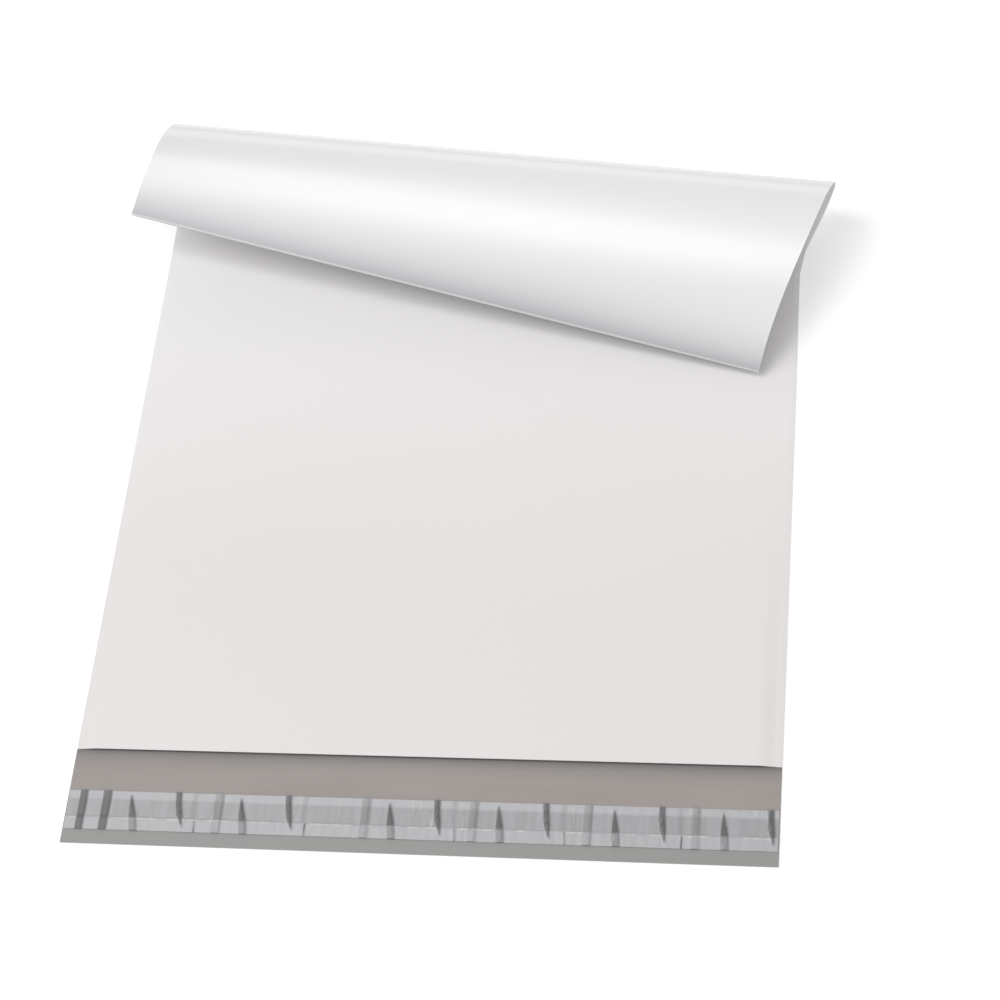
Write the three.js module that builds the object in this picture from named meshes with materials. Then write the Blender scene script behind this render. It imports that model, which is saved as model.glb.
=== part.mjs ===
// A polyethylene mailer bag lying face up, with its closed end curled up and over.
//
// The bag is one web of film: a back ply that runs on past the mouth as the flap, and a front ply.
// The two plies meet in a fold at the closed end and in a weld down each side.
// Every point is first placed on the flat pattern and then bent with the film, so that its length
// from the mouth stays true through the curl.
//
// Frame: the origin is the middle of the mouth, on the underside of the back ply.
// +X runs across the bag, +Y from the mouth to the closed end, +Z up. Sizes are in millimetres.

import * as THREE from 'three';

// Flat size of the bag
const bagWidth = 254;
const pocketLength = 330.2;
const flapLength = 35.4;

// Film, welds and the air between the plies
const filmThickness = 0.075;
const plyGap = 0.25;
const weldWidth = 2;
const weldGap = 0.03;
const endFoldLength = 0.3;
const endFoldRounding = 0.3;

// The mouth stands a little open, and the front ply comes down to rest further in
const mouthGape = 4.5;
const gapeFlatLength = 70;
const gapeEnd = 165;
const gapeSideRun = 62;

// The curl is a roll about a slightly skewed axis: straight rulings lie across the bag at this angle
const curlSkew = THREE.MathUtils.degToRad(7.94);
const curlStart = 217.7;
const curlTightestRadius = 11.6;
const curlTighteningRun = 40.2;
const curlEasingRun = 34.4;
const curlTailRadius = 120;

// Past its first ruling the curl also shifts along its rulings. All of it slides over a little, and
// its right-hand side spreads outwards as well, most at the crest and less at the closed end.
const fanCrestRun = 50;
const fanEndRun = 125;
const fanSlide = 3.7;
const fanAtCrest = 12.7;
const fanAtEnd = 6.9;

// Closure on the inside of the flap, measured from the flap's free edge
const adhesiveStart = 10.7;
const adhesiveWidth = 6.2;
const adhesiveThickness = 0.05;
const adhesiveDome = 0.012;
const linerStart = 5.3;
const linerWidth = 14.4;
const linerThickness = 0.045;
const linerSideInset = 0.4;

// The liner shrinks less than the film under it, so it lifts in a set of creases that repeats
const creasePitch = 39;
const firstCrease = -110.5;
const creaseSets = 6;
const smoothStretch = 15;
const smoothStretchAfter = 2;

// Fineness of the mesh
const halfColumns = 6;
const turnPerRow = THREE.MathUtils.degToRad(8);
const tailTurnPerRow = THREE.MathUtils.degToRad(11);
const gapeRows = 6;
const endRows = 3;
const endRowsRun = 5;
const sectionStep = 0.25;

function plastic(name, color, roughness) {
  return new THREE.MeshStandardMaterial({ name, color, roughness, metalness: 0 });
}

const materials = {
  film: plastic('film', 0xe9e7e6, 0.38),
  adhesive: plastic('adhesive', 0xa7a6a6, 0.5),
  liner: plastic('liner', 0xbdbcbb, 0.3),
};

// 0 before the run, 1 after it, with no kink at either end
function ease(x) {
  return THREE.MathUtils.smoothstep(x, 0, 1);
}

// Integral of ease from 0 to x
function easeArea(x) {
  if (x <= 0) return 0;
  if (x >= 1) return 0.5 + (x - 1);
  return x ** 3 - x ** 4 / 2;
}

// Angle that the film has turned through at distance s past the first ruling of the curl.
// Its curvature rises from nothing to the tightest, then falls to that of the slack tail.
function turnAt(s) {
  const tight = 1 / curlTightestRadius;
  const tail = 1 / curlTailRadius;
  const tightening = tight * curlTighteningRun * easeArea(s / curlTighteningRun);
  const easing = (tail - tight) * curlEasingRun * easeArea((s - curlTighteningRun) / curlEasingRun);
  return tightening + easing;
}

// Place and turn of the film's section through the curl, at distance s past the first ruling
function curlSection(s) {
  if (s <= 0) return { along: s, up: 0, turn: 0 };
  const steps = Math.ceil(s / sectionStep);
  const step = s / steps;
  let along = 0;
  let up = 0;
  for (let i = 0; i < steps; i += 1) {
    const turn = turnAt((i + 0.5) * step);
    along += Math.cos(turn) * step;
    up += Math.sin(turn) * step;
  }
  return { along, up, turn: turnAt(s) };
}

// Directions on the flat pattern: along the rulings, and square to them
const rulingDirection = new THREE.Vector3(Math.cos(curlSkew), -Math.sin(curlSkew), 0);
const rollDirection = new THREE.Vector3(Math.sin(curlSkew), Math.cos(curlSkew), 0);
const up = new THREE.Vector3(0, 0, 1);

// Distance past the first ruling of a point (u, v) of the pattern, and the v that lies on a ruling
function distancePastRuling(u, v) {
  return u * rollDirection.x + (v - curlStart) * rollDirection.y;
}

function onRuling(u, s) {
  return curlStart + (s - u * rollDirection.x) / rollDirection.y;
}

// Shift of a point along its ruling, at distance s past the first one
function fanShift(u, s) {
  const shareAcross = u / bagWidth + 0.5;
  const toCrest = ease(s / fanCrestRun);
  const toEnd = ease((s - fanCrestRun) / (fanEndRun - fanCrestRun));
  const spread = fanAtCrest * toCrest + (fanAtEnd - fanAtCrest) * toEnd;
  return fanSlide * toCrest + spread * shareAcross;
}

// Bends the pattern: u across, v along, and depth measured up from the underside of the back ply
function bend(u, v, depth) {
  const s = distancePastRuling(u, v);
  const section = curlSection(s);
  const alongRuling = u * rulingDirection.x + (v - curlStart) * rulingDirection.y + fanShift(u, s);
  const normal = new THREE.Vector3()
    .addScaledVector(rollDirection, -Math.sin(section.turn))
    .addScaledVector(up, Math.cos(section.turn));
  return new THREE.Vector3(0, curlStart, 0)
    .addScaledVector(rulingDirection, alongRuling)
    .addScaledVector(rollDirection, section.along)
    .addScaledVector(up, section.up)
    .addScaledVector(normal, depth);
}

// Makes one closed surface from a block of cells, rows by columns by layers.
// pointAt(row, column, level) places the corners, and isSolid(row, column, layer) says which
// cells hold material. A face is made only where a solid cell meets an empty one.
function cellSolid(rows, columns, layers, pointAt, isSolid) {
  const positions = [];
  const triangles = [];
  const numbers = new Map();

  function corner(row, column, level) {
    const key = `${row},${column},${level}`;
    if (!numbers.has(key)) {
      numbers.set(key, positions.length / 3);
      positions.push(...pointAt(row, column, level).toArray());
    }
    return numbers.get(key);
  }

  function face(...corners) {
    const [a, b, c, d] = corners.map((place) => corner(...place));
    triangles.push(a, b, c, a, c, d);
  }

  function solidAt(row, column, layer) {
    if (row < 0 || column < 0 || layer < 0) return false;
    if (row >= rows || column >= columns || layer >= layers) return false;
    return isSolid(row, column, layer);
  }

  for (let r = 0; r < rows; r += 1) {
    for (let c = 0; c < columns; c += 1) {
      for (let k = 0; k < layers; k += 1) {
        if (!solidAt(r, c, k)) continue;
        const [r1, c1, k1] = [r + 1, c + 1, k + 1];
        if (!solidAt(r, c, k1)) face([r, c, k1], [r, c1, k1], [r1, c1, k1], [r1, c, k1]);
        if (!solidAt(r, c, k - 1)) face([r1, c1, k], [r, c1, k], [r, c, k], [r1, c, k]);
        if (!solidAt(r - 1, c, k)) face([r, c, k], [r, c1, k], [r, c1, k1], [r, c, k1]);
        if (!solidAt(r1, c, k)) face([r1, c1, k], [r1, c, k], [r1, c, k1], [r1, c1, k1]);
        if (!solidAt(r, c - 1, k)) face([r1, c, k], [r, c, k], [r, c, k1], [r1, c, k1]);
        if (!solidAt(r, c1, k)) face([r, c1, k], [r1, c1, k], [r1, c1, k1], [r, c1, k1]);
      }
    }
  }

  const geometry = new THREE.BufferGeometry();
  geometry.setAttribute('position', new THREE.Float32BufferAttribute(positions, 3));
  geometry.setIndex(triangles);
  geometry.computeVertexNormals();
  return geometry;
}

// Columns of the film: closer together towards the sides, with one column for each weld
function filmColumns() {
  const innerHalf = bagWidth / 2 - weldWidth;
  const columns = [-bagWidth / 2];
  for (let i = -halfColumns; i <= halfColumns; i += 1) {
    columns.push(innerHalf * Math.sin((i / halfColumns) * (Math.PI / 2)));
  }
  columns.push(bagWidth / 2);
  return columns;
}

// Rulings of the curl, each turned on from the last by an even step, as far as the corner of the
// closed end that the skew brings in first
function curlRulings(lastDistance) {
  const tailStart = curlTighteningRun + curlEasingRun;
  const rulings = [0];
  let nextTurn = turnPerRow;
  for (let s = 0; s < lastDistance; s += sectionStep) {
    if (turnAt(s) < nextTurn) continue;
    rulings.push(s);
    nextTurn += s < tailStart ? turnPerRow : tailTurnPerRow;
  }
  rulings.push(lastDistance);
  return rulings;
}

// Rows of the film, each as a function from u to v
function filmRows() {
  const closedEnd = pocketLength;
  const nearCorner = distancePastRuling(-bagWidth / 2, closedEnd);
  const lastRuling = nearCorner - endRowsRun;
  const rows = [() => -flapLength, () => 0];
  for (let i = 1; i <= gapeRows; i += 1) rows.push(() => (gapeEnd * i) / gapeRows);
  for (const s of curlRulings(lastRuling)) rows.push((u) => onRuling(u, s));
  const foldStart = closedEnd - endFoldLength;
  for (let i = 1; i <= endRows; i += 1) {
    rows.push((u) => THREE.MathUtils.lerp(onRuling(u, lastRuling), foldStart, i / endRows));
  }
  rows.push(() => closedEnd);
  return rows;
}

// Air between the plies at a point of the pattern: pinched at the welds, open at the mouth
function airGap(u, v) {
  const fromWeld = bagWidth / 2 - weldWidth - Math.abs(u);
  if (fromWeld < 0) return weldGap;
  const acrossShare = ease(fromWeld / gapeSideRun);
  const alongShare = 1 - ease((v - gapeFlatLength) / (gapeEnd - gapeFlatLength));
  return plyGap + (mouthGape - plyGap) * acrossShare * alongShare;
}

// The bag's film. Level 0 is the underside, levels 1 and 2 face the air in the pocket, and level 3
// is the face of the front ply. The flap is the back ply alone.
function bagFilm() {
  const columns = filmColumns();
  const rows = filmRows();
  const lastRow = rows.length - 2;
  const lastColumn = columns.length - 2;
  const mouthRow = 1;

  function pointAt(row, column, level) {
    const u = columns[column];
    const v = rows[row](u);
    const gap = airGap(u, v);
    const depths = [0, filmThickness, filmThickness + gap, 2 * filmThickness + gap];
    const middle = depths[3] / 2;
    const atFold = row === rows.length - 1;
    const depth = atFold ? THREE.MathUtils.lerp(middle, depths[level], endFoldRounding) : depths[level];
    return bend(u, v, depth);
  }

  function isSolid(row, column, layer) {
    if (row < mouthRow) return layer === 0;
    const inWeld = column === 0 || column === lastColumn;
    const inFold = row === lastRow;
    return layer !== 1 || inWeld || inFold;
  }

  return cellSolid(rows.length - 1, columns.length - 1, 3, pointAt, isSolid);
}

// The glue: a low band with its middle slightly higher than its edges
function adhesiveStrip() {
  const halfLength = bagWidth / 2 - linerSideInset;
  const columns = [-halfLength, -halfLength / 3, halfLength / 3, halfLength];
  const shares = [0, 0.15, 0.5, 0.85, 1];

  function pointAt(row, column, level) {
    const share = shares[row];
    const crown = adhesiveThickness - adhesiveDome * (2 * share - 1) ** 2;
    const v = -flapLength + adhesiveStart + adhesiveWidth * share;
    return new THREE.Vector3(columns[column], v, filmThickness + level * crown);
  }

  return cellSolid(shares.length - 1, columns.length - 1, 1, pointAt, () => true);
}

// One crease of the liner. centre and halfWidth are functions of share, 0 at the edge near the
// flap's free edge and 1 at the edge near the mouth.
const creases = [
  { height: 0.4, centre: () => 0, halfWidth: () => 2.1 },
  { height: 0.55, centre: () => 9.6, halfWidth: (share) => 0.5 + 1.7 * (1 - share) },
  {
    height: 0.75,
    centre: (share) => 25.4 + 2.4 * (1 - share) ** 2,
    halfWidth: (share) => 0.4 + 1.3 * share,
  },
  { height: 0.3, centre: () => 32.8, halfWidth: (share) => 0.3 + 0.5 * (1 - share) },
];
const plainColumns = [14.5, 19, 36];

function creaseSetStart(index) {
  const stretch = index >= smoothStretchAfter ? smoothStretch : 0;
  return firstCrease + index * creasePitch + stretch;
}

// Columns of the liner: three for each crease, at its foot, crest and foot, and a few plain ones.
// Each is a function from share to u, with the lift that the liner has there.
function linerColumns() {
  const halfLength = bagWidth / 2 - linerSideInset;
  const columns = [{ u: () => -halfLength, lift: 0 }, { u: () => -halfLength + 5.5, lift: 0.35 }];
  for (let i = 0; i < creaseSets; i += 1) {
    const start = creaseSetStart(i);
    for (const crease of creases) {
      for (const side of [-1, 0, 1]) {
        columns.push({
          u: (share) => start + crease.centre(share) + side * crease.halfWidth(share),
          lift: side === 0 ? crease.height : 0,
        });
      }
    }
    for (const offset of plainColumns) columns.push({ u: () => start + offset, lift: 0 });
  }
  columns.push({ u: () => halfLength, lift: 0 });
  const inside = columns.filter((column) => column.u(0) <= halfLength && column.u(1) <= halfLength);
  return inside.sort((a, b) => a.u(0.5) - b.u(0.5));
}

// The puckered liner, lying on the glue
function releaseLiner() {
  const columns = linerColumns();
  const shares = [0, 0.2, 0.4, 0.6, 0.8, 1];

  function pointAt(row, column, level) {
    const share = shares[row];
    const { u, lift } = columns[column];
    const v = -flapLength + linerStart + linerWidth * share;
    const underside = filmThickness + adhesiveThickness + lift;
    return new THREE.Vector3(u(share), v, underside + level * linerThickness);
  }

  return cellSolid(shares.length - 1, columns.length - 1, 1, pointAt, () => true);
}

function piece(name, geometry, material) {
  const mesh = new THREE.Mesh(geometry, material);
  mesh.name = name;
  return mesh;
}

const mailer = new THREE.Group();
mailer.add(piece('bag_film', bagFilm(), materials.film));
mailer.add(piece('adhesive_strip', adhesiveStrip(), materials.adhesive));
mailer.add(piece('release_liner', releaseLiner(), materials.liner));

export default mailer;
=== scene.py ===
# %% [markdown]
# # A poly mailer bag, lying open with its closed end curled over
#
# The real bag is one web of polyethylene film, white outside and grey inside. It is folded at the
# closed end and welded down both sides, and the back ply runs on past the mouth as a flap, which
# carries a band of glue under a thin release liner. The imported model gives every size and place.
# This scene makes the same three pieces again with a finer surface, and gives them their finish.

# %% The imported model
import math

import bpy
from mathutils import Matrix, Vector


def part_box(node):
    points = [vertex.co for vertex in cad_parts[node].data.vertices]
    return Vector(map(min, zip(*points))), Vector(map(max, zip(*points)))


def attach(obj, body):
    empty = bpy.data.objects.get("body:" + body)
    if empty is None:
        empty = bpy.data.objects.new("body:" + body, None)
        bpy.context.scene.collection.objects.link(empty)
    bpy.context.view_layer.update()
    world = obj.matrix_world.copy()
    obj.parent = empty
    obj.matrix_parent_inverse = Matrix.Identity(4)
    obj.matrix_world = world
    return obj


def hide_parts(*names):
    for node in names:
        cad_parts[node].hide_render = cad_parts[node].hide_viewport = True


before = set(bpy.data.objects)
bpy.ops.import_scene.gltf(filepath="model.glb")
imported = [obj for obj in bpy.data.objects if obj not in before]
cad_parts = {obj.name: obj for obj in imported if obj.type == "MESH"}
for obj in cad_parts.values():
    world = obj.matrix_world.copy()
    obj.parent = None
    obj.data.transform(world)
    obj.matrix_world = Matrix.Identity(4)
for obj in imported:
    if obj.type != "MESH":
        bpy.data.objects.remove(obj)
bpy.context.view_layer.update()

# %% [markdown]
# Sizes are in metres. All of them could be typed in again, but then the scene could drift away from
# the solids. So the flap's edge and the places of the glue and the liner are read from the packed
# nodes, and only the film's own sizes, which no box shows, are given here.

# %% Sizes
MM = 0.001
film_low, film_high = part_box("bag_film")
glue_low, glue_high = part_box("adhesive_strip")
liner_low, liner_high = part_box("release_liner")

half_width = 127 * MM
flap_edge = film_low.y
pocket_length = 330.2 * MM
film_thickness = 0.075 * MM
ply_gap = 0.25 * MM
weld_width = 2 * MM
weld_gap = 0.03 * MM
print("bag", round(2 * half_width, 4), "x", pocket_length, "flap", round(-flap_edge, 4))

# %% [markdown]
# Node trees can be written as a list of nodes and links, but they are easier to read as sums. A
# `Value` wraps one socket, and an operator on it adds the Math node. `Graph.add` makes every other
# kind of node: its settings come first, because some of them change which sockets the node has.

# %% Node helpers
class Value:
    """One socket that takes part in sums."""

    def __init__(self, graph, socket):
        self.graph = graph
        self.socket = socket

    def other(self, name):
        """Another output of the same node."""
        return Value(self.graph, self.socket.node.outputs[name])

    def __add__(self, other):
        return self.graph.math("ADD", self, other)

    def __sub__(self, other):
        return self.graph.math("SUBTRACT", self, other)

    def __rsub__(self, other):
        return self.graph.math("SUBTRACT", other, self)

    def __mul__(self, other):
        return self.graph.math("MULTIPLY", self, other)

    def __truediv__(self, other):
        return self.graph.math("DIVIDE", self, other)

    def __pow__(self, other):
        return self.graph.math("POWER", self, other)

    __radd__ = __add__
    __rmul__ = __mul__


class Graph:
    """Adds nodes to one node tree."""

    def __init__(self, tree):
        self.tree = tree

    def add(self, kind, settings=None, sockets=None, out=0):
        node = self.tree.nodes.new(kind)
        for name, value in (settings or {}).items():
            setattr(node, name, value)
        for key, value in (sockets or {}).items():
            self.feed(node.inputs[key], value)
        return Value(self, node.outputs[out]) if len(node.outputs) else node

    def feed(self, target, value):
        if isinstance(value, Value):
            self.tree.links.new(value.socket, target)
        else:
            target.default_value = value

    def math(self, operation, *terms):
        return self.add("ShaderNodeMath", {"operation": operation}, dict(enumerate(terms)))

    def smooth(self, value, low, high):
        """0 below low and 1 above high, with soft ends."""
        settings = {"interpolation_type": "SMOOTHSTEP"}
        return self.add("ShaderNodeMapRange", settings, {"Value": value, "From Min": low, "From Max": high})

    def split(self, vector):
        """The three numbers of a vector."""
        parts = self.add("ShaderNodeSeparateXYZ", None, {0: vector})
        return [parts.other(axis) for axis in "XYZ"]

    def attribute(self, name, out="Fac"):
        return self.add("ShaderNodeAttribute", {"attribute_name": name}, out=out)

    def mix(self, share, a, b):
        """Mixes two colours."""
        sockets = {0: share, 6: a, 7: b}
        return self.add("ShaderNodeMix", {"data_type": "RGBA"}, sockets, out=2)


print("node helpers:", Value.__name__, Graph.__name__)

# %% [markdown]
# Geometry Nodes need the same start and end each time: a group with named inputs, a modifier whose
# inputs are set by their identifiers, and a plain mesh taken from the evaluated object. The draft
# object goes, and its modifier with it, so that only the plain mesh is left.

# %% Geometry Nodes helpers
sharp_angle = math.radians(35)


def geometry_graph(name, inputs):
    """A Geometry Nodes tree with named inputs. Gives the graph, and its inputs by name."""
    tree = bpy.data.node_groups.new(name, "GeometryNodeTree")
    tree.interface.new_socket("Geometry", in_out="OUTPUT", socket_type="NodeSocketGeometry")
    tree.interface.new_socket("Geometry", in_out="INPUT", socket_type="NodeSocketGeometry")
    for label, kind in inputs.items():
        tree.interface.new_socket(label, in_out="INPUT", socket_type=kind)
    graph = Graph(tree)
    start = graph.add("NodeGroupInput")
    return graph, {label: start.other(label) for label in ("Geometry", *inputs)}


def end_graph(graph, geometry, materials):
    """Ends a tree in Realize Instances and one Set Material for each finish."""
    geometry = graph.add("GeometryNodeRealizeInstances", None, {"Geometry": geometry})
    for material, where in materials:
        sockets = {"Geometry": geometry, "Material": material}
        if where is not None:
            sockets["Selection"] = where
        geometry = graph.add("GeometryNodeSetMaterial", None, sockets)
    graph.add("NodeGroupOutput", None, {"Geometry": geometry})


def made_plain(name, mesh, graph, values):
    """Runs the tree on the mesh and gives an object that holds the plain result."""
    draft = bpy.data.objects.new(name + "_draft", mesh)
    bpy.context.scene.collection.objects.link(draft)
    modifier = draft.modifiers.new("Shape", "NODES")
    modifier.node_group = graph.tree
    for item in graph.tree.interface.items_tree:
        if item.in_out == "INPUT" and item.name in values:
            modifier[item.identifier] = values[item.name]
    evaluated = draft.evaluated_get(bpy.context.evaluated_depsgraph_get())
    result = bpy.data.meshes.new_from_object(evaluated)
    bpy.data.objects.remove(draft)
    result.shade_smooth()
    result.set_sharp_from_angle(angle=sharp_angle)
    piece = bpy.data.objects.new(name, result)
    bpy.context.scene.collection.objects.link(piece)
    result.calc_loop_triangles()
    print(name, len(result.loop_triangles), "triangles", len(result.materials), "finishes")
    return piece


print("edges are kept sharp from", round(math.degrees(sharp_angle)), "degrees")

# %% [markdown]
# A film bag is a thin closed solid with a hollow in it. A flat sheet with a Solidify modifier would
# leave its plies as loose overlaps at the welds and the fold. It is surer to think of a block of
# cells, some solid and some empty, and to make a face only where a solid cell meets an empty one,
# because such a shell has no gap. The block is built flat, and bent afterwards. Each point also
# keeps its place on the flat pattern as an attribute, which the bend and the finishes use.

# %% A solid made of cells
def cell_mesh(name, rows, columns, layers, point, is_solid, inner_levels=()):
    """point(row, column, level) places the corners. Faces on inner_levels are marked as inside."""
    numbers = {}
    points = []
    faces = []
    inside = []

    def corner(place):
        if place not in numbers:
            numbers[place] = len(points)
            points.append(point(*place))
        return numbers[place]

    def solid(r, c, k):
        return 0 <= r < rows and 0 <= c < columns and 0 <= k < layers and is_solid(r, c, k)

    def face(*places):
        faces.append([corner(place) for place in places])
        levels = {place[2] for place in places}
        inside.append(len(levels) == 1 and levels.pop() in inner_levels)

    for r in range(rows):
        for c in range(columns):
            for k in range(layers):
                if not solid(r, c, k):
                    continue
                if not solid(r, c, k + 1):
                    face((r, c, k + 1), (r, c + 1, k + 1), (r + 1, c + 1, k + 1), (r + 1, c, k + 1))
                if not solid(r, c, k - 1):
                    face((r + 1, c + 1, k), (r, c + 1, k), (r, c, k), (r + 1, c, k))
                if not solid(r - 1, c, k):
                    face((r, c, k), (r, c + 1, k), (r, c + 1, k + 1), (r, c, k + 1))
                if not solid(r + 1, c, k):
                    face((r + 1, c + 1, k), (r + 1, c, k), (r + 1, c, k + 1), (r + 1, c + 1, k + 1))
                if not solid(r, c - 1, k):
                    face((r + 1, c, k), (r, c, k), (r, c, k + 1), (r + 1, c, k + 1))
                if not solid(r, c + 1, k):
                    face((r, c + 1, k), (r + 1, c + 1, k), (r + 1, c + 1, k + 1), (r, c + 1, k + 1))
    mesh = bpy.data.meshes.new(name)
    mesh.from_pydata(points, [], faces)
    mesh.attributes.new("inside", "BOOLEAN", "FACE").data.foreach_set("value", inside)
    pattern = mesh.attributes.new("pattern", "FLOAT_VECTOR", "POINT")
    pattern.data.foreach_set("vector", [c for p in points for c in p])
    print(name, rows, "rows", columns, "columns", len(faces), "faces")
    return mesh


# %% [markdown]
# The closed end doesn't roll up square to the bag. Its straight rulings lie at a small angle across
# it, so the curl starts nearer the mouth on one side and its free edge comes down aslant. Cloth
# simulation would let it spring open, and a Simple Deform modifier rolls at one radius only. Film
# keeps its length when it bends, so the curl is drawn as a section instead: how far the film has
# turned at each distance along it. The turn tightens, eases off, and the rest hangs over as a slack
# tail.

# %% The curl's section
curl_skew = math.radians(7.94)
curl_start = 217.7 * MM
tightest_radius = 11.6 * MM
tightening_run = 40.2 * MM
easing_run = 34.4 * MM
tail_radius = 120 * MM
section_length = 140 * MM
section_step = 0.25 * MM


def ease(x):
    """0 to 1 with soft ends."""
    x = min(max(x, 0), 1)
    return x * x * (3 - 2 * x)


def curvature(s):
    tight = 1 / tightest_radius
    tail = 1 / tail_radius
    rise = tight * ease(s / tightening_run)
    return rise + (tail - tight) * ease((s - tightening_run) / easing_run)


def curl_section():
    """Points of the section, and the turn at each of them."""
    places = [(0.0, 0.0)]
    turns = [0.0]
    for i in range(round(section_length / section_step)):
        step_turn = curvature((i + 0.5) * section_step) * section_step
        middle = turns[-1] + step_turn / 2
        along, up = places[-1]
        places.append((along + section_step * math.cos(middle), up + section_step * math.sin(middle)))
        turns.append(turns[-1] + step_turn)
    return places, turns


def past_ruling(u, v):
    """Distance of a point of the pattern past the first ruling."""
    return u * math.sin(curl_skew) + (v - curl_start) * math.cos(curl_skew)


def on_ruling(u, s):
    """Place along the pattern of the ruling that lies s past the first one."""
    return curl_start + (s - u * math.sin(curl_skew)) / math.cos(curl_skew)


section_points, section_turns = curl_section()
print("curl: highest", round(max(up for along, up in section_points), 4), "turned",
      round(math.degrees(section_turns[-1])), "degrees")

# %% [markdown]
# An even grid would spend its faces on the flat panel, which needs few. So the pattern's columns
# crowd towards the sides, and its rows crowd at the mouth, follow the rulings through the curl, and
# end in a round fold.

# %% The film's rows and columns
half_columns = 36
lift_end = 150 * MM
lift_rows = 26
lift_crowding = 1.6
flat_rows = 4
turn_per_row = math.radians(2.4)
tail_rows = 26
bead_gap = 0.85 * MM
bead_run = 2.2 * MM
bead_rows = 6
bead_angles = [math.radians(a) for a in (0, 25, 48, 68, 86)]


def film_columns():
    inner = half_width - weld_width
    steps = range(-half_columns, half_columns + 1)
    middle = [inner * math.sin(i / half_columns * math.pi / 2) for i in steps]
    return [-half_width, *middle, half_width]


def even_rows(function_from, function_to, count):
    """Rows spread evenly between two lines of the pattern, with the first line left out."""
    def between(share):
        return lambda u: function_from(u) + (function_to(u) - function_from(u)) * share
    return [between(i / count) for i in range(1, count + 1)]


def film_rows():
    """Each row is a function that gives its place along the pattern at u across it."""
    tail_start = tightening_run + easing_run
    last_ruling = past_ruling(-half_width, pocket_length) - 2 * bead_run
    bead_start = pocket_length - bead_run
    bead_half = film_thickness + bead_gap / 2
    rows = [lambda u: flap_edge, lambda u: 0]
    for i in range(1, lift_rows + 1):
        rows.append(lambda u, share=i / lift_rows: lift_end * share ** lift_crowding)
    rows += even_rows(lambda u: lift_end, lambda u: on_ruling(u, 0), flat_rows)
    next_turn = turn_per_row
    for i, turn in enumerate(section_turns):
        s = i * section_step
        if turn >= next_turn and s < tail_start:
            rows.append(lambda u, s=s: on_ruling(u, s))
            next_turn += turn_per_row
    rows += even_rows(lambda u: on_ruling(u, tail_start), lambda u: on_ruling(u, last_ruling), tail_rows // 2)
    rows += even_rows(lambda u: on_ruling(u, last_ruling), lambda u: bead_start, tail_rows // 2)
    rows += even_rows(lambda u: bead_start, lambda u: pocket_length - bead_half, bead_rows)
    rows += [lambda u, a=a: pocket_length - bead_half * (1 - math.sin(a)) for a in bead_angles[1:]]
    return rows


print("film rows", len(film_rows()), "columns", len(film_columns()))

# %% [markdown]
# The front ply lies almost flat on the back one, lifts a little at the mouth, and is pinched to it
# at the welds. At the closed end the web folds back on itself round a small bead of air, which
# catches the light along a real bag's bottom edge; the white finish also paints a highlight line on
# top of the bead and a shadow line under it. One function gives the air between the plies at any
# place, and the cells' levels follow from it.

# %% The film's pattern
mouth_lift = 0.8 * MM
lift_side_run = 6 * MM
weld_tolerance = 0.01 * MM


def air_gap(u, v):
    from_weld = half_width - weld_width - abs(u)
    if from_weld < -weld_tolerance:
        return weld_gap
    lift = mouth_lift * ease(from_weld / lift_side_run) * (1 - ease(v / lift_end))
    bead = (bead_gap - ply_gap) * ease((v - (pocket_length - bead_run)) / bead_run)
    return ply_gap + lift + bead


def film_pattern():
    columns = film_columns()
    rows = film_rows()
    places = [[row(u) for u in columns] for row in rows]
    first_bead_row = len(rows) - len(bead_angles)

    def point(row, column, level):
        u = columns[column]
        v = places[row][column]
        gap = air_gap(u, v)
        depth = (0, film_thickness, film_thickness + gap, 2 * film_thickness + gap)[level]
        if row > first_bead_row:
            middle = film_thickness + gap / 2
            depth = middle + (depth - middle) * math.cos(bead_angles[row - first_bead_row])
        return (u, v, depth)

    def is_solid(row, column, layer):
        if row < 1:
            return layer == 0
        in_weld = column in (0, len(columns) - 2)
        in_fold = row >= first_bead_row
        return layer != 1 or in_weld or in_fold

    return cell_mesh("film_pattern", len(rows) - 1, len(columns) - 1, 3, point, is_solid, inner_levels=(1, 2))


flat_film = film_pattern()

# %% [markdown]
# Every finish here is a Principled shader, and most have faint streaks. A finish could read Object
# coordinates or the film's own pattern. The pattern is the better choice on film, because it stays
# with it round the curl. The streaks are a noise that is drawn out across the pattern or along it.

# %% Finish helpers
def surface(name, colour, roughness, specular=0.5):
    """Gives a new material, its graph and its shader. Nodes that are fed in later replace the values."""
    material = bpy.data.materials.new(name)
    material.use_nodes = True
    graph = Graph(material.node_tree)
    shader = material.node_tree.nodes["Principled BSDF"]
    shader.inputs["Base Color"].default_value = (*colour, 1)
    shader.inputs["Roughness"].default_value = roughness
    shader.inputs["Specular IOR Level"].default_value = specular
    print("finish", name, "specular", specular)
    return material, graph, shader


def streaks(graph, across, along, detail=3):
    """Noise from 0 to 1, with the sizes of its streaks across the pattern and along it."""
    # The turn comes after the stretch, so it only picks another part of the noise.
    stretched = graph.add("ShaderNodeMapping", {"vector_type": "POINT"}, {
        "Vector": graph.attribute("pattern", out="Vector"),
        "Rotation": (0, 0, curl_skew),
        "Scale": (1 / across, 1 / along, 0),
    })
    return graph.add("ShaderNodeTexNoise", None, {"Vector": stretched, "Scale": 1, "Detail": detail})


def add_bump(graph, shader, height, strength, distance):
    sockets = {"Height": height, "Strength": strength, "Distance": distance}
    graph.feed(shader.inputs["Normal"], graph.add("ShaderNodeBump", None, sockets))
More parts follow.
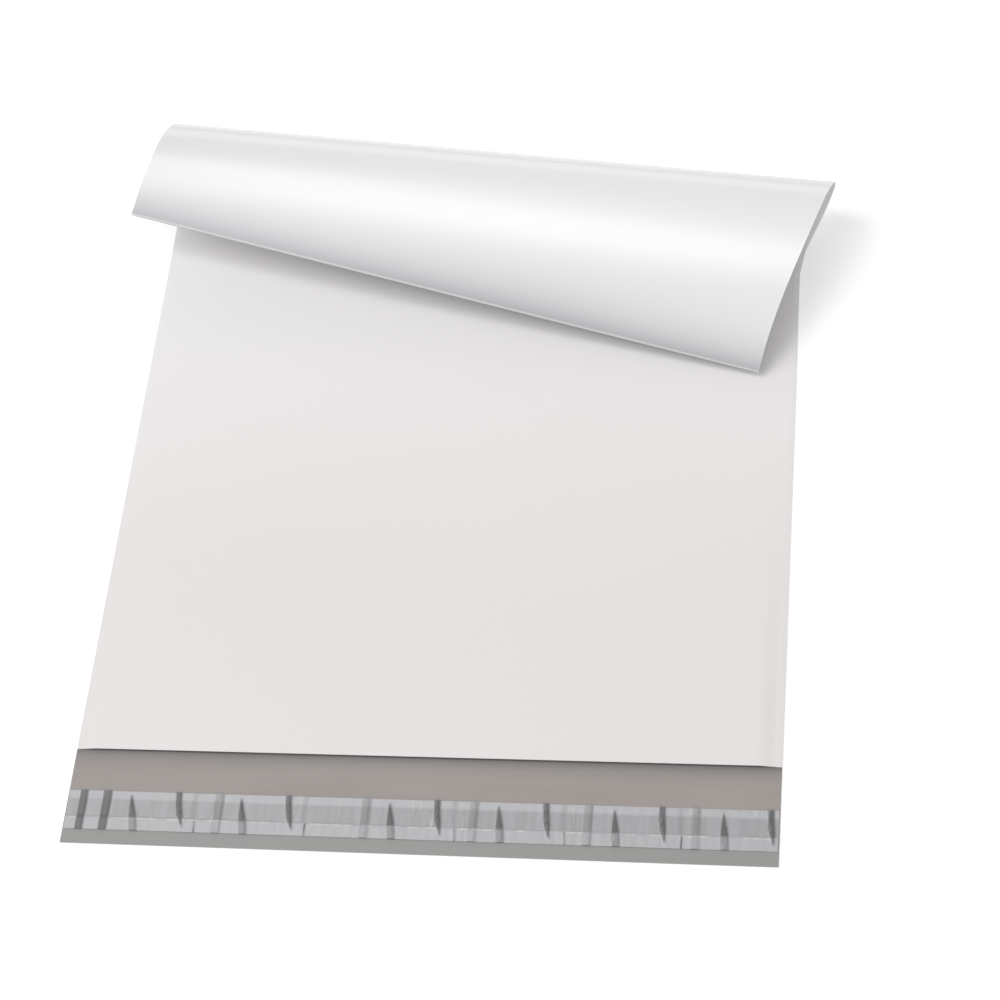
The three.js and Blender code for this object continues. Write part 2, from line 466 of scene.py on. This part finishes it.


# %% [markdown]
# Both outer faces of the film are white. Painted light makes the white paler and cooler towards the
# curl, lifting the shade on the panel under it and on its crest. Painted shade greys it in the last
# centimetre before the fold at the closed end, where the curl's lower edge turns from the light.
# The fold has a painted highlight line above and a painted shadow line below. A plain glossy white
# would shine all over, so a clear coat lies on it, weak on the loose panel and strong where the film
# is drawn tight over the curl. That is what gives the long highlight. A shallow unevenness of the
# surface breaks it up.

# %% The white film
painted_light_from = 50 * MM
painted_light_full = 200 * MM
painted_light_wander = 40 * MM
end_shade_run = 11.5 * MM
end_shade_skew = 0.02
fold_line_start = 1.1 * MM
fold_line_full = 0.6 * MM
pale_line_depth = 0.22 * MM
dark_line_depth = 0.34 * MM
tight_after = 15 * MM
tight_until = 45 * MM
loose_coat = 0.12
tight_coat = 1.0
end_coat_loss = 0.5
loose_roughness = 0.50
tight_roughness = 0.32


def film_white():
    tone = (0.765, 0.732, 0.725)
    # Painted light: the curl tone makes the white paler and cooler towards the curl, lifting the shade on the
    # panel under the curl and on its crest.
    painted_curl_light_tone = (0.820, 0.804, 0.806)
    # Painted shade: the end tone greys the last centimetre before the fold, where the curl's lower edge turns
    # from the light.
    painted_end_shade_tone = (0.370, 0.375, 0.400)
    # Painted highlight and painted shadow: a pale line along the top of the fold's bead and a dark line under
    # it.
    painted_fold_highlight_tone = (0.60, 0.60, 0.60)
    painted_fold_shadow_tone = (0.06, 0.06, 0.065)
    material, graph, shader = surface("white_film", tone, 0.36)
    broad = streaks(graph, 0.16, 0.05, detail=1)
    fine = streaks(graph, 0.06, 0.0022)
    across, length, depth = graph.split(graph.attribute("pattern", out="Vector"))

    wander = painted_light_wander * (broad - 0.5)
    painted_curl_light = graph.smooth(length + wander, painted_light_from, painted_light_full)
    colour = graph.mix(painted_curl_light, (*tone, 1), (*painted_curl_light_tone, 1))
    # Painted shade towards the closed end; the coat is weaker there as well.
    painted_end_shade = graph.math("EXPONENT", (length - pocket_length) / (end_shade_run - end_shade_skew * across))
    colour = graph.mix(painted_end_shade, colour, (*painted_end_shade_tone, 1))
    # The fold's pale line is a painted highlight and its dark line a painted shadow.
    at_fold = graph.smooth(length, pocket_length - fold_line_start, pocket_length - fold_line_full)
    under = graph.smooth(depth, pale_line_depth, dark_line_depth)
    fold = graph.mix(under, (*painted_fold_highlight_tone, 1), (*painted_fold_shadow_tone, 1))
    graph.feed(shader.inputs["Base Color"], graph.mix(at_fold, colour, fold))

    drawn_tight = graph.smooth(length, curl_start + tight_after, curl_start + tight_until)
    shader.inputs["Coat IOR"].default_value = 1.6
    shader.inputs["Coat Roughness"].default_value = 0.22
    coat = loose_coat + (tight_coat - loose_coat) * drawn_tight - end_coat_loss * painted_end_shade
    roughness = loose_roughness + (tight_roughness - loose_roughness) * drawn_tight + 0.1 * fine
    graph.feed(shader.inputs["Coat Weight"], coat)
    graph.feed(shader.inputs["Roughness"], roughness)
    add_bump(graph, shader, fine + 2 * broad, 0.12, 0.4 * MM)
    return material


white_film = film_white()

# %% [markdown]
# The inside of the film, which the flap shows, is grey and duller. It has no coat, only broad and
# fine streaks. It is a little cooler at the flap's free edge. Painted shade darkens it in the last
# millimetres before the mouth, where the front ply's lip shades the flap, and all over the inside
# of the pocket.

# %% The grey film
edge_tone_from = -24 * MM
edge_tone_full = -32 * MM
mouth_shade_run = 2.5 * MM


def film_grey():
    tone = (0.312, 0.280, 0.266)
    light_tone = (0.342, 0.306, 0.291)
    edge_tone = (0.302, 0.298, 0.290)
    # Painted shade: the mouth tone is the shadow under the front ply's lip and inside the pocket.
    painted_mouth_shade_tone = (0.150, 0.155, 0.150)
    material, graph, shader = surface("grey_film", tone, 0.42, specular=0.45)
    broad = streaks(graph, 0.09, 0.012, detail=2)
    fine = streaks(graph, 0.05, 0.0012)
    length = graph.split(graph.attribute("pattern", out="Vector"))[1]
    colour = graph.mix(graph.smooth(broad, 0.3, 0.7), (*tone, 1), (*light_tone, 1))
    colour = graph.mix(graph.smooth(length, edge_tone_from, edge_tone_full), colour, (*edge_tone, 1))
    # Painted shade under the mouth's lip, full inside the pocket.
    painted_mouth_shade = graph.math("EXPONENT", graph.math("MINIMUM", length, 0) / mouth_shade_run)
    graph.feed(shader.inputs["Base Color"], graph.mix(painted_mouth_shade, colour, (*painted_mouth_shade_tone, 1)))
    add_bump(graph, shader, fine, 0.15, 0.3 * MM)
    return material


grey_film = film_grey()

# %% [markdown]
# Bending the pattern is one short rule. Python could do it point by point, but Geometry Nodes do it
# to every point at once: measure how far the point lies past the first ruling, look up that length
# on the section curve, and set the point off along the curve's normal by its depth in the film. The
# curl also slides and fans out a little along its rulings, most at the crest of its right-hand side.

# %% Bending the film
fan_crest_run = 50 * MM
fan_end_run = 125 * MM


def bend_graph():
    graph, given = geometry_graph("Bend the film", {
        "Section": "NodeSocketObject",
        "Start": "NodeSocketFloat",
        "Skew": "NodeSocketFloat",
        "Slide": "NodeSocketFloat",
        "Crest spread": "NodeSocketFloat",
        "End spread": "NodeSocketFloat",
    })
    u, v, depth = graph.split(graph.add("GeometryNodeInputPosition"))
    sine = graph.math("SINE", given["Skew"])
    cosine = graph.math("COSINE", given["Skew"])
    rise = v - given["Start"]
    past = u * sine + rise * cosine
    to_crest = graph.smooth(past, 0, fan_crest_run)
    to_end = graph.smooth(past, fan_crest_run, fan_end_run)
    spread = given["Crest spread"] * to_crest + (given["End spread"] - given["Crest spread"]) * to_end
    share_across = u / (2 * half_width) + 0.5
    across = u * cosine - rise * sine + given["Slide"] * to_crest + spread * share_across
    curve = graph.add("GeometryNodeObjectInfo", None, {"Object": given["Section"]}, out="Geometry")
    sample = graph.add("GeometryNodeSampleCurve", {"mode": "LENGTH", "use_all_curves": True}, {
        "Curves": curve,
        "Length": graph.math("MAXIMUM", past, 0),
    })
    spot = graph.split(sample.other("Position"))
    tangent = graph.split(sample.other("Tangent"))
    along = graph.math("MINIMUM", past, 0) + spot[0] - tangent[2] * depth
    bent = graph.add("ShaderNodeCombineXYZ", None, {
        "X": across * cosine + along * sine,
        "Y": given["Start"] - across * sine + along * cosine,
        "Z": spot[2] + tangent[0] * depth,
    })
    moved = graph.add("GeometryNodeSetPosition", None, {"Geometry": given["Geometry"], "Position": bent})
    inside = graph.add("GeometryNodeInputNamedAttribute", {"data_type": "BOOLEAN"}, {"Name": "inside"})
    end_graph(graph, moved, [(white_film, None), (grey_film, inside)])
    print(graph.tree.name, len(graph.tree.nodes), "nodes")
    return graph


# %% [markdown]
# The section becomes a curve of short straight steps, which the tree reads as an object. It is only
# a guide, so it is removed once the film is bent.

# %% The film
fan_slide = 3.7 * MM
fan_at_crest = 12.7 * MM
fan_at_end = 6.9 * MM


def section_curve():
    curve = bpy.data.curves.new("curl_section", "CURVE")
    curve.dimensions = "3D"
    spline = curve.splines.new("POLY")
    spline.points.add(len(section_points) - 1)
    for point, (along, up) in zip(spline.points, section_points):
        point.co = (along, 0, up, 1)
    section = bpy.data.objects.new("curl_section", curve)
    bpy.context.scene.collection.objects.link(section)
    return section


def mailer_film():
    section = section_curve()
    values = {
        "Section": section,
        "Start": curl_start,
        "Skew": curl_skew,
        "Slide": fan_slide,
        "Crest spread": fan_at_crest,
        "End spread": fan_at_end,
    }
    piece = made_plain("mailer_film", flat_film, bend_graph(), values)
    bpy.data.objects.remove(section)
    return piece


film = mailer_film()

# %% [markdown]
# The glue is a band rolled onto the flap while it is warm, so it is a shade higher along its middle
# and its edges wander a little. A plain box would do under the liner, but a few rows of cells give
# it the crown and the edges for little more.

# %% The glue
glue_rows = 10
glue_columns = 160
glue_edge_wander = 0.25 * MM
wander_waves = (7 * MM, 19 * MM)
crown_fall = 0.4


def glue_pattern():
    length = glue_high.x - glue_low.x
    width = glue_high.y - glue_low.y
    top = glue_high.z - film_thickness

    def point(row, column, level):
        share = row / glue_rows
        x = glue_low.x + length * column / glue_columns
        from_middle = 2 * share - 1
        wave = math.sin(x / wander_waves[0]) * math.sin(x / wander_waves[1] + 1)
        wander = glue_edge_wander * wave * abs(from_middle)
        crown = top * (1 - crown_fall * from_middle ** 2)
        return (x, glue_low.y + width * share + wander, film_thickness + level * crown)

    return cell_mesh("glue_pattern", glue_rows, glue_columns, 1, point, lambda r, c, k: True)


def glue_finish():
    tone = (0.36, 0.36, 0.37)
    ripple_tone = (0.40, 0.40, 0.41)
    material, graph, shader = surface("glue", tone, 0.25)
    ripple = streaks(graph, 0.012, 0.0015)
    graph.feed(shader.inputs["Base Color"], graph.mix(ripple, (*tone, 1), (*ripple_tone, 1)))
    add_bump(graph, shader, ripple, 0.3, 0.3 * MM)
    return material


def glue_band():
    graph, given = geometry_graph("Glue", {})
    end_graph(graph, given["Geometry"], [(glue_finish(), None)])
    return made_plain("glue_band", glue_pattern(), graph, {})


glue = glue_band()

# %% [markdown]
# The release liner is a translucent strip that shrinks less than the film under it, so it stands up
# in creases. They come in sets, because the machine that laid it down turns once for each set: a
# soft band right across, a spike that opens downwards, a curved leaf that closes to a point, and a
# short crack in the free margin with a darker patch above it. Spikes and leaves lean more towards the
# left-hand end. Each crease could be a mesh of its own, but as masks from one formula they share one
# closed strip: each point finds the last set that it has passed, and then its place in that set. Their
# dark is painted shade, the shadow in the tunnels under the creases.

# %% The liner's creases
free_margin_share = 0.325
crease_sets = [place * MM for place in (-111.0, -70.5, -17.0, 21.4, 61.4, 98.3)]
set_lead = 4 * MM

# Places along the liner, half widths and leans are in millimetres from here on. The pairs further
# down are the two shares across the liner between which a crease grows or fades.
first_bands = [(-121.0, 1.3), (-112.1, 1.45)]
place_in_set = {"band": 0.3, "spike": 10.5, "leaf": 25.6, "dark_patch": 31.9, "crack": 32.7}
half_width_of = {"band": 1.35, "spike": 1.2, "leaf": 0.95, "dark_patch": 0.9, "crack": 0.18}
softness_of = {"band": 0.35, "first": 0.3, "spike": 0.3, "leaf": 0.3, "dark_patch": 0.8, "crack": 0.22}
tip_half_width = 0.1
middle_lean = 2
lean_per_metre = -9
extra_leaf_lean = 0.6
leaf_bow = 1.8
crack_lean = 0.6
spike_taper = (0.3, 1)
spike_fade = (0.84, 0.94)
leaf_growth = (0.08, 0.16)
leaf_opening = (0.1, 0.5)
crack_fade = (0.28, 0.34)
dark_patch_growth = (0.34, 0.38)


def crease_masks(graph, x, share, width):
    """The share of each crease at a point: x along the liner, share 0 at its free margin to 1."""
    reached = crease_sets[0]
    for before, start in zip(crease_sets, crease_sets[1:]):
        reached = reached + graph.math("GREATER_THAN", x, start - set_lead) * (start - before)
    place = (x - reached) / MM

    def line(along, centre, half_width, softness):
        """1 on the line, 0 away from it."""
        distance = graph.math("ABSOLUTE", along - centre)
        return 1 - graph.smooth(distance - half_width * width, -softness, softness)

    def crease(name, shift=0, half_width=None):
        return line(place, place_in_set[name] + shift, half_width or half_width_of[name], softness_of[name])

    lean = middle_lean + lean_per_metre * x
    taper = graph.smooth(share, *spike_taper)
    opening = graph.smooth(share, *leaf_opening)
    spike_half_width = half_width_of["spike"] - (half_width_of["spike"] - tip_half_width) * taper
    leaf_half_width = tip_half_width + (half_width_of["leaf"] - tip_half_width) * opening
    spike_shift = -1 * lean * share
    leaf_shift = (extra_leaf_lean + lean) * (1 - share) ** leaf_bow
    after_first = graph.math("GREATER_THAN", x, (crease_sets[0] + crease_sets[1]) / 2)
    first = [line(x / MM, *band, softness_of["first"]) for band in first_bands]
    return {
        "band": crease("band") * after_first,
        "first": first[0] + first[1],
        "spike": crease("spike", spike_shift, spike_half_width) * (1 - graph.smooth(share, *spike_fade)),
        "leaf": crease("leaf", leaf_shift, leaf_half_width) * graph.smooth(share, *leaf_growth),
        "crack": crease("crack", -crack_lean * share) * (1 - graph.smooth(share, *crack_fade)),
        "dark_patch": crease("dark_patch") * graph.smooth(share, *dark_patch_growth),
    }


print("liner creases:", len(crease_sets), "sets of", ", ".join(place_in_set))

# %% [markdown]
# The liner's upper and lower edges aren't glued, so they ripple more than its middle does. Its flat
# pattern is a fine grid, and the tree lifts it. It also keeps the painted shade of each crease, and
# the share across the liner, as attributes that the finish reads.

# %% The liner's shape
liner_thickness = 0.045 * MM
liner_length = liner_high.x - liner_low.x
liner_width = liner_high.y - liner_low.y
liner_columns = 560
liner_rows = 34
glue_end_share = (glue_high.y - liner_low.y) / liner_width
ripple_length = 2.6 * MM
ripple_width = 14 * MM
crease_lift = {"band": 0.45, "first": 0.5, "spike": 0.6, "leaf": 0.65, "crack": 0.4}
glued_ripple = 0.06
loose_ripple = 0.28
margin_softness = 0.03
band_dark = 0.4
dark_patch_strength = 0.25
dark_in_margin = 0.5
dark_softness = 0.05


def liner_pattern():
    floor = glue_high.z

    def point(row, column, level):
        x = liner_low.x + liner_length * column / liner_columns
        y = liner_low.y + liner_width * row / liner_rows
        return (x, y, floor + level * liner_thickness)

    return cell_mesh("liner_pattern", liner_rows, liner_columns, 1, point, lambda r, c, k: True)


def crease_graph(finish):
    graph, given = geometry_graph("Crease the liner", {
        "Crease width": "NodeSocketFloat",
        "Height": "NodeSocketFloat",
        "Ripple seed": "NodeSocketFloat",
    })
    x, y = graph.split(graph.add("GeometryNodeInputPosition"))[:2]
    share = (y - liner_low.y) / liner_width
    masks = crease_masks(graph, x, share, given["Crease width"])
    spot = {"X": x / ripple_length, "Y": y / ripple_width, "Z": given["Ripple seed"]}
    ripple = graph.add("ShaderNodeTexNoise", None, {
        "Vector": graph.add("ShaderNodeCombineXYZ", None, spot),
        "Scale": 1,
        "Detail": 2,
    })
    loose = 1 - graph.smooth(share, free_margin_share - margin_softness, free_margin_share + margin_softness)
    loose = loose + graph.smooth(share, glue_end_share, 1)
    lift = sum(masks[name] * height for name, height in crease_lift.items())
    lift = lift + ripple * (glued_ripple + loose_ripple * loose)
    step = graph.add("ShaderNodeCombineXYZ", None, {"Z": lift * given["Height"]})
    geometry = graph.add("GeometryNodeSetPosition", None, {"Geometry": given["Geometry"], "Offset": step})

    # The crease attribute is painted shade: the shadow in the tunnels under the raised creases, with a darker
    # patch above each crack. Band and spike shade is weaker in the free margin.
    glued = graph.smooth(share, free_margin_share - dark_softness, free_margin_share + dark_softness)
    strength = dark_in_margin + (1 - dark_in_margin) * glued
    dark = (masks["band"] * band_dark + masks["spike"]) * strength
    dark = dark + masks["first"] + masks["leaf"] + masks["crack"] + masks["dark_patch"] * dark_patch_strength
    for name, value in (("crease", graph.math("MINIMUM", dark, 1)), ("share", share)):
        geometry = graph.add("GeometryNodeStoreNamedAttribute", {"data_type": "FLOAT", "domain": "POINT"}, {
            "Geometry": geometry,
            "Name": name,
            "Value": value,
        })
    end_graph(graph, geometry, [(finish, None)])
    print(graph.tree.name, len(graph.tree.nodes), "nodes")
    return graph


flat_liner = liner_pattern()

# %% [markdown]
# The liner is clear plastic. It looks pale where it is free and darker where the glue wets it, with
# a bright broken line between the two and small bright flecks above it. Glass would need many more
# samples for the same look. So the tones are in the colour, and only about an eighth of what lies
# under the liner shows through it.

# %% The liner's finish
edge_softness = 0.015
glue_end_fade = (glue_end_share - 0.05, glue_end_share + 0.03)
mean_wetness = 0.75
fine_patchiness = 0.25
broad_patchiness = 0.9
level_patchiness = 0.2
line_below_edge = 0.02
line_half_width = 0.008
line_reach = 0.03
fleck_strength = 0.5
painted_crease_shade_strength = 0.9
most_alpha = 0.92
alpha_range = 0.1


def liner_finish():
    margin_tone = (0.50, 0.50, 0.52)
    glued_tone = (0.38, 0.38, 0.39)
    # Painted shade: the crease tone darkens the liner where its creases shade the tunnels under them.
    painted_crease_shade_tone = (0.115, 0.115, 0.12)
    line_tone = (0.68, 0.68, 0.68)
    material, graph, shader = surface("release_liner", margin_tone, 0.3)
    share = graph.attribute("share")
    crease = graph.attribute("crease")
    upright = streaks(graph, 0.0022, 0.03)
    level = streaks(graph, 0.03, 0.0009)
    patches = streaks(graph, 0.007, 0.03, detail=1)

    above_margin = graph.smooth(share, free_margin_share - edge_softness, free_margin_share + edge_softness)
    glued = above_margin * (1 - graph.smooth(share, *glue_end_fade))
    patchy = graph.smooth(upright, 0.3, 0.7)
    wetness = mean_wetness + fine_patchiness * (patchy - 0.5) + broad_patchiness * (patches - 0.5)
    wetness = glued * wetness + level_patchiness * (level - 0.5)
    colour = graph.mix(wetness, (*margin_tone, 1), (*glued_tone, 1))

    from_line = graph.math("ABSOLUTE", share - free_margin_share + line_below_edge)
    line = 1 - graph.smooth(from_line, line_half_width, line_reach)
    broken = graph.smooth(patches, 0.42, 0.58) * graph.smooth(upright, 0.3, 0.6)
    flecks = graph.smooth(upright, 0.60, 0.68) * graph.smooth(patches, 0.54, 0.62) * above_margin
    bright = graph.math("MAXIMUM", line * broken, fleck_strength * flecks)
    colour = graph.mix(bright, colour, (*line_tone, 1))
    painted_crease_shade_colour = graph.mix(crease * painted_crease_shade_strength, colour, (*painted_crease_shade_tone, 1))
    graph.feed(shader.inputs["Base Color"], painted_crease_shade_colour)
    graph.feed(shader.inputs["Alpha"], most_alpha - alpha_range * upright)
    add_bump(graph, shader, upright + 0.4 * level, 0.35, 0.3 * MM)
    return material


liner_values = {"Crease width": 1.0, "Height": 1 * MM, "Ripple seed": 3.7}
liner = made_plain("liner", flat_liner, crease_graph(liner_finish()), liner_values)

# %% [markdown]
# Each piece rides on the one body that the imported model has, and stands for its node. They could
# be joined into one object, but then the three finishes couldn't be changed one by one.

# %% Pieces on the frame
for piece, node, slot in (
    (film, "bag_film", "film"),
    (glue, "adhesive_strip", "adhesive"),
    (liner, "release_liner", "liner"),
):
    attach(piece, "root")
    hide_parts(node)
    print(piece.name, "stands for", node)

# %% [markdown]
# The studio's floor is a plain white plane. It takes the bag's soft shadow as any floor does. More
# light would turn it quite white, but it would also wash out the bag. So a little white is added for
# camera, mirror and see-through rays only, and almost no more light reaches the bag for it.

# %% Floor
floor_size = 6.0
floor_drop = 0.3 * MM
floor_tone = (0.82, 0.82, 0.82)
floor_white = (1.0, 1.0, 0.99)
floor_glow = 0.3


def make_floor():
    half = floor_size / 2
    corners = [(-half, -half), (half, -half), (half, half), (-half, half)]
    mesh = bpy.data.meshes.new("floor")
    mesh.from_pydata([(x, y, film_low.z - floor_drop) for x, y in corners], [], [(0, 1, 2, 3)])
    floor = bpy.data.objects.new("floor", mesh)
    bpy.context.scene.collection.objects.link(floor)
    material, graph, shader = surface("floor_white", floor_tone, 1.0, specular=0.0)
    rays = graph.add("ShaderNodeLightPath", out="Is Camera Ray")
    seen = graph.math("MAXIMUM", rays, rays.other("Is Glossy Ray"))
    seen = graph.math("MAXIMUM", seen, rays.other("Is Transmission Ray"))
    graph.feed(shader.inputs["Emission Color"], graph.mix(seen, (0, 0, 0, 1), (*floor_white, 1)))
    shader.inputs["Emission Strength"].default_value = floor_glow
    mesh.materials.append(material)


make_floor()

# %% [markdown]
# One world alone would light the bag flat, and one lamp alone would throw hard shadows. Three wide
# suns give soft, even light from the left, right and front, with a dim world for the rest. Two long
# panels are there to be seen in the film's gloss: the first makes the highlight along the curl, the
# second the paler edge along its crest.

# %% Light
world_strength = 0.325
soft_lamps = {
    "key_from_left": {"from": (-0.7, -0.1, 0.7), "share": 0.405},
    "fill_from_right": {"from": (0.6, -0.4, 0.7), "share": 0.195},
    "fill_from_front": {"from": (0.1, -0.65, 0.75), "share": 0.13},
}
soft_lamp_width = math.radians(50)
panel_lamps = {
    "overhead_strip": {"at": (-0.57, 0.42, 2.0), "along": (0.8, -0.59, 0), "size": (1.35, 0.5), "power": 6.9},
    "back_panel": {"at": (0, 2.2, 0.8), "along": (1, 0, 0), "size": (2.4, 1.0), "power": 7.5},
}


def make_world():
    world = bpy.data.worlds.new("studio")
    world.use_nodes = True
    background = world.node_tree.nodes["Background"]
    background.inputs["Color"].default_value = (1, 1, 1, 1)
    background.inputs["Strength"].default_value = world_strength
    bpy.context.scene.world = world


def place_lamp(name, light, place):
    lamp = bpy.data.objects.new(name, light)
    lamp.matrix_world = place
    bpy.context.scene.collection.objects.link(lamp)
    print("lamp", name, round(light.energy, 2))


def make_soft_lamp(name, lamp):
    light = bpy.data.lights.new(name, "SUN")
    light.energy = math.pi * lamp["share"]
    light.angle = soft_lamp_width
    place_lamp(name, light, Vector(lamp["from"]).to_track_quat("Z", "Y").to_matrix().to_4x4())


def make_panel_lamp(name, lamp):
    light = bpy.data.lights.new(name, "AREA")
    light.shape = "RECTANGLE"
    light.size, light.size_y = lamp["size"]
    light.energy = lamp["power"]
    place = Vector(lamp["at"])
    backward = (place - Vector((0, (flap_edge + film_high.y) / 2, 0))).normalized()
    along = Vector(lamp["along"])
    along = (along - along.dot(backward) * backward).normalized()
    turn = Matrix((along, backward.cross(along), backward)).transposed()
    place_lamp(name, light, Matrix.Translation(place) @ turn.to_4x4())


make_world()
for name, lamp in soft_lamps.items():
    make_soft_lamp(name, lamp)
for name, lamp in panel_lamps.items():
    make_panel_lamp(name, lamp)

# %% [markdown]
# The camera looks down on the bag from the front and a little from its right, with its frame turned
# clockwise, through a long lens. It could be placed by hand, but a point to aim at, a distance and
# three angles are easier to check and to change.

# %% Camera
camera_lens = 79.2
sensor_width = 36
camera_distance = 0.81585
camera_aim = Vector((0.019506, 0.10238, 0))
camera_azimuth = math.radians(22.995)
camera_elevation = math.radians(60.407)
camera_roll = math.radians(-20.081)


def make_camera():
    data = bpy.data.cameras.new("camera")
    data.lens = camera_lens
    data.sensor_width = sensor_width
    camera = bpy.data.objects.new("camera", data)
    level = math.cos(camera_elevation)
    towards = Vector((
        math.sin(camera_azimuth) * level,
        -math.cos(camera_azimuth) * level,
        math.sin(camera_elevation),
    ))
    turn = (-towards).to_track_quat("-Z", "Y").to_matrix() @ Matrix.Rotation(camera_roll, 3, "Z")
    camera.matrix_world = Matrix.Translation(camera_aim + camera_distance * towards) @ turn.to_4x4()
    bpy.context.scene.collection.objects.link(camera)
    bpy.context.scene.camera = camera
    print("camera at", [round(c, 3) for c in camera_aim + camera_distance * towards])


make_camera()
bpy.context.scene.view_settings.view_transform = "Standard"
